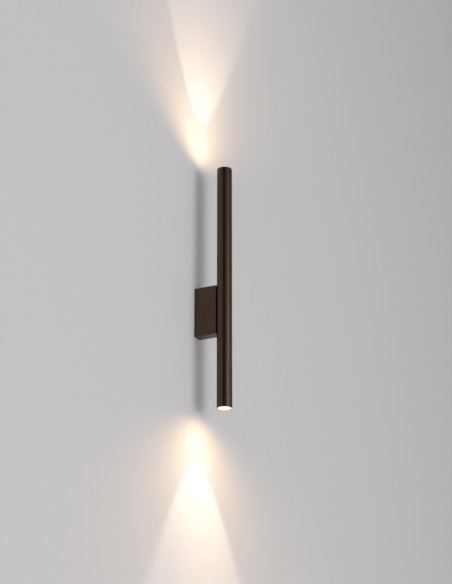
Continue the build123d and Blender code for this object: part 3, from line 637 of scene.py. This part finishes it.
def earth_sleeve():
    """Green sleeve with a yellow stripe along it."""
    finish = Finish("green_yellow_lead", Roughness=0.42)
    green = (0.03, 0.22, 0.03)
    yellow = (0.75, 0.62, 0.03)
    across = finish.add("ShaderNodeSeparateXYZ", {"Vector": finish.place()}).outputs["X"]
    share = finish.between(across, low=0, high=1, start=-1 * MM, end=1 * MM)
    stripe = finish.tones(share, (0.40, green), (0.46, yellow), (0.60, yellow), (0.66, green))
    finish.feed("Base Color", stripe)
    return finish.material


finishes = {
    "bronze_finish": bronze(),
    "zinc_plated_steel": zinc_plated_steel(),
    "black_steel": metal("black_steel", (0.020, 0.020, 0.022), (0.040, 0.039, 0.040), 0.42),
    "bare_aluminium": bare_aluminium(),
    "black_rubber": moulded("black_rubber", (0.014, 0.014, 0.015), (0.024, 0.024, 0.025), 0.72),
    "silicone_rubber": moulded("silicone_rubber", (0.66, 0.66, 0.64), (0.76, 0.76, 0.74), 0.60),
    "ivory_nylon": moulded("ivory_nylon", (0.74, 0.70, 0.60), (0.82, 0.79, 0.70), 0.48),
    "brass": metal("brass", (0.66, 0.46, 0.18), (0.78, 0.58, 0.26), 0.30),
    "plated_terminal_screw": metal("plated_terminal_screw", (0.55, 0.55, 0.54), (0.68, 0.68, 0.66), 0.32),
    "earth_hardware": metal("earth_hardware", (0.62, 0.44, 0.18), (0.74, 0.56, 0.26), 0.34),
    "driver_shell": moulded("driver_shell", (0.74, 0.74, 0.72), (0.82, 0.82, 0.80), 0.50),
    "green_board": green_board(),
    "transformer_tape": moulded("transformer_tape", (0.68, 0.47, 0.04), (0.80, 0.60, 0.07), 0.35, 1.5 * MM),
    "capacitor_sleeve": moulded("capacitor_sleeve", (0.016, 0.016, 0.020), (0.026, 0.026, 0.032), 0.25),
    "foam_tape": moulded("foam_tape", (0.46, 0.46, 0.44), (0.60, 0.60, 0.58), 0.85, 0.8 * MM),
    "white_board": moulded("white_board", (0.80, 0.80, 0.78), (0.87, 0.87, 0.85), 0.35),
    "thermal_pad": moulded("thermal_pad", (0.36, 0.39, 0.44), (0.46, 0.49, 0.54), 0.70),
    "led_phosphor": led_phosphor(),
    "white_holder": moulded("white_holder", (0.78, 0.78, 0.76), (0.85, 0.85, 0.83), 0.50),
    "clear_lens": clear_lens(),
    "frosted_cover": frosted_cover(),
    "brown_lead": moulded("brown_lead", (0.10, 0.042, 0.016), (0.14, 0.060, 0.024), 0.40),
    "blue_lead": moulded("blue_lead", (0.016, 0.10, 0.40), (0.024, 0.14, 0.50), 0.40),
    "green_yellow_lead": earth_sleeve(),
    "red_lead": moulded("red_lead", (0.44, 0.016, 0.016), (0.55, 0.024, 0.024), 0.40),
    "black_lead": moulded("black_lead", (0.016, 0.016, 0.017), (0.026, 0.026, 0.027), 0.40),
    "white_lead": moulded("white_lead", (0.74, 0.74, 0.72), (0.84, 0.84, 0.82), 0.40),
}

slots = {}
for subpart in frame["record"]["subparts"]:
    slots[subpart["node"]] = subpart["material_slot"]
    surface = frame["nodes"][subpart["node"]].data
    surface.materials.clear()
    surface.materials.append(finishes[subpart["material_slot"]])

# Pieces on their bodies


def fit(piece, body, node):
    """Finish a piece, set it on its body and let it stand for its node."""
    only(piece)
    bpy.ops.object.shade_smooth_by_angle(angle=SHARP_ANGLE)
    modify(piece, "WEIGHTED_NORMAL", keep_sharp=True)
    piece.data.materials.clear()
    piece.data.materials.append(finishes[slots[node]])
    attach(piece, body)
    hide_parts(node)


fit(tube_shell(), "luminaire", "tube")
fit(wall_box(), "luminaire", "rear_box")
disc = cover_disc("disc_model", "upper_cover_disc")
for end in ("upper", "lower"):
    node = f"{end}_cover_disc"
    fit(copied(disc, f"{end}_frosted_disc", middle_of(node), UP), "luminaire", node)
fit(bracket_plate(), "bracket", "wall_bracket")
fit(cable_grommet(), "bracket", "cable_bush")
lock = grub_screw("lock_model", "upper_lock_screw", UP, LOCK_PITCH, LOCK_SOCKET)
sink = grub_screw("sink_model", "upper_heat_sink_screw", INTO_WALL, SINK_PITCH, SINK_SOCKET)
for end, outward in (("upper", UP), ("lower", DOWN)):
    node = f"{end}_lock_screw"
    fit(copied(lock, f"{end}_lock_grub", foot_of(node, outward), outward), f"{end}_lock", node)
    node = f"{end}_heat_sink_screw"
    fit(copied(sink, f"{end}_sink_grub", foot_of(node, INTO_WALL), INTO_WALL), "luminaire", node)
for model in (disc, lock, sink):
    bpy.data.objects.remove(model)

# Stage: a pale wall, seen from the room only, and a pale floor

WALL_PLACE = 0.5 * MM
WALL_CONTACT = 4 * MM
WALL_COLOUR = (0.56, 0.553, 0.562)
FLOOR_DROP = 1.5
FLOOR_COLOUR = (0.60, 0.59, 0.58)
STAGE_REACH = 8.0


def matt_paint(name, colour):
    """Plain matt paint or cloth."""
    return Finish(name, Roughness=0.9, Base_Color=(*colour, 1))


def wall_paint():
    """Paint of the wall: clear from behind, and to what lies against it."""
    paint = matt_paint("wall", WALL_COLOUR)
    clear = paint.add("ShaderNodeBsdfTransparent").outputs["BSDF"]
    behind = paint.add("ShaderNodeNewGeometry").outputs["Backfacing"]
    reach = paint.add("ShaderNodeLightPath").outputs["Ray Length"]
    touching = paint.add("ShaderNodeMath", {0: reach})
    touching.operation = "LESS_THAN"
    touching.inputs[1].default_value = WALL_CONTACT
    hidden = paint.add("ShaderNodeMath", {0: behind, 1: touching.outputs["Value"]})
    hidden.operation = "MAXIMUM"
    painted = paint.shader.outputs["BSDF"]
    sides = paint.add("ShaderNodeMixShader", {0: hidden.outputs["Value"], 1: painted, 2: clear})
    surface = paint.tree.nodes["Material Output"].inputs["Surface"]
    paint.tree.links.new(sides.outputs["Shader"], surface)
    return paint


def backdrop(name, place, turn, paint):
    """A large plane that isn't part of the object."""
    bpy.ops.object.select_all(action="DESELECT")
    bpy.ops.mesh.primitive_plane_add(size=STAGE_REACH, location=place, rotation=turn)
    plane = added(name)
    plane.data.materials.append(paint.material)
    return plane


wall = backdrop("wall", (0, WALL_PLACE, STAGE_REACH / 2 - FLOOR_DROP), (pi / 2, 0, 0), wall_paint())
wall.visible_shadow = False
backdrop("floor", (0, 0, -FLOOR_DROP), (0, 0, 0), matt_paint("floor", FLOOR_COLOUR))

# Light: even room light, three soft lights, a dark flag and the light of the tube's two ends

ROOM_LIGHT = 0.34
SOFTBOX_PLACE = Vector((-1.06, -5.0, -0.7))
SOFTBOX_SIZE = (4.2, 1.6)
SOFTBOX_POWER = 158
FILL_PLACE = Vector((-0.4, -5.0, 1.2))
FILL_SIZE = (4.2, 1.5)
FILL_POWER = 25
REAR_PLACE = Vector((2.0, 2.0, -0.5))
REAR_SIZE = (1.6, 1.6)
REAR_POWER = 8
FLAG_PLACE = Vector((-3.4, -1.7, 1.4))
FLAG_SIZE = (4.0, 3.4)
FLAG_COLOUR = (0.05, 0.05, 0.05)

# Light of a tube end: a clear cone through the lens, a warm flank beside it, a wide glow around both, and
# the bright disc's own light on the wall close by. Angles and leans are in degrees.
WARM_WHITE = (1.0, 0.86, 0.74)
AMBER = (1.0, 0.62, 0.28)
COOL_WHITE = (0.6, 0.85, 1.0)
LENS_POWER = 20
LENS_SOFTNESS = 0.3
FLANK_POWER = 12
FLANK_ANGLE = 30
FLANK_LEAN = 10
GLOW_POWER = 9
GLOW_WALL_LEAN = 8
DISC_POWER = 1.5
DISC_ANGLE = 40
DISC_WALL_LEAN = 30
FULL_SOFTNESS = 1.0
FAR_EVENNESS = 0.3
NEAR_EVENNESS = 0.08
LAMP_RADIUS = 1.0 * MM
LAMP_GAP = 1.0 * MM

world = bpy.data.worlds.new("room_light")
world.use_nodes = True
world.node_tree.nodes["Background"].inputs["Color"].default_value = (1, 1, 1, 1)
world.node_tree.nodes["Background"].inputs["Strength"].default_value = ROOM_LIGHT
bpy.context.scene.world = world


def soft_light(name, place, size, power):
    """A rectangular soft light that faces the wall light."""
    bpy.ops.object.light_add(type="AREA", location=place)
    lamp = bpy.context.object
    lamp.name = name
    lamp.rotation_euler = (-place).to_track_quat("-Z", "Y").to_euler()
    lamp.data.shape = "RECTANGLE"
    lamp.data.size, lamp.data.size_y = size
    lamp.data.energy = power
    lamp.visible_camera = False


def dark_flag():
    """A black studio flag at the left, out of view, that puts the dark band on the tube."""
    bpy.ops.object.select_all(action="DESELECT")
    bpy.ops.mesh.primitive_plane_add(size=1, location=FLAG_PLACE, rotation=(0, pi / 2, 0))
    bpy.context.object.scale = (*FLAG_SIZE, 1)
    flag = added("dark_flag")
    flag.data.materials.append(matt_paint("flag_cloth", FLAG_COLOUR).material)
    flag.visible_camera = False


def beam(name, way, half_angle, softness, power, colour, lean, evenness):
    """One cone of the light that leaves a tube end, leaning along and into the wall."""
    low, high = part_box("tube")
    end = Vector((0, middle_of("tube").y, high.z if way.z > 0 else low.z))
    bpy.ops.object.light_add(type="SPOT", location=end + way * LAMP_GAP)
    lamp = bpy.context.object
    lamp.name = name
    aim = Vector((tan(radians(lean[0])), tan(radians(lean[1])), way.z))
    lamp.rotation_euler = aim.to_track_quat("-Z", "Y").to_euler()
    lamp.data.spot_size = 2 * radians(half_angle)
    lamp.data.spot_blend = softness
    lamp.data.shadow_soft_size = LAMP_RADIUS
    lamp.data.energy = power
    lamp.data.color = colour
    lamp.data.use_nodes = True
    tree = lamp.data.node_tree
    falloff = tree.nodes.new("ShaderNodeLightFalloff")
    falloff.inputs["Strength"].default_value = 1
    falloff.inputs["Smooth"].default_value = evenness
    tree.links.new(falloff.outputs["Quadratic"], tree.nodes["Emission"].inputs["Strength"])
    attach(lamp, "luminaire")


def end_light(end, way, lens_angle, lens_lean, glow_angle, glow_lean):
    """All the light of one tube end."""
    beam(
        f"{end}_lens_cone", way, lens_angle, LENS_SOFTNESS, LENS_POWER, WARM_WHITE,
        lean=(lens_lean, 0), evenness=FAR_EVENNESS,
    )
    beam(
        f"{end}_flank", way, FLANK_ANGLE, FULL_SOFTNESS, FLANK_POWER, AMBER,
        lean=(FLANK_LEAN, 0), evenness=FAR_EVENNESS,
    )
    beam(
        f"{end}_glow", way, glow_angle, FULL_SOFTNESS, GLOW_POWER, AMBER,
        lean=(glow_lean, GLOW_WALL_LEAN), evenness=NEAR_EVENNESS,
    )
    beam(
        f"{end}_disc_light", way, DISC_ANGLE, FULL_SOFTNESS, DISC_POWER, COOL_WHITE,
        lean=(0, DISC_WALL_LEAN), evenness=NEAR_EVENNESS,
    )


soft_light("softbox", SOFTBOX_PLACE, SOFTBOX_SIZE, SOFTBOX_POWER)
soft_light("fill_light", FILL_PLACE, FILL_SIZE, FILL_POWER)
soft_light("rear_light", REAR_PLACE, REAR_SIZE, REAR_POWER)
dark_flag()
end_light("upper", UP, lens_angle=28, lens_lean=2, glow_angle=74, glow_lean=-2)
end_light("lower", DOWN, lens_angle=34, lens_lean=3, glow_angle=84, glow_lean=6)

# Camera at the photograph's place

CAMERA_PLACE = Vector((-2.6318, -1.3856, -1.1066))
CAMERA_YAW = radians(63.323)
CAMERA_PITCH = radians(21.209)
CAMERA_LENS = 100

bpy.ops.object.camera_add(location=CAMERA_PLACE, rotation=(pi / 2 + CAMERA_PITCH, 0, -CAMERA_YAW))
camera = bpy.context.object
camera.data.lens = CAMERA_LENS
bpy.context.scene.camera = camera
bpy.context.scene.view_settings.view_transform = "Standard"
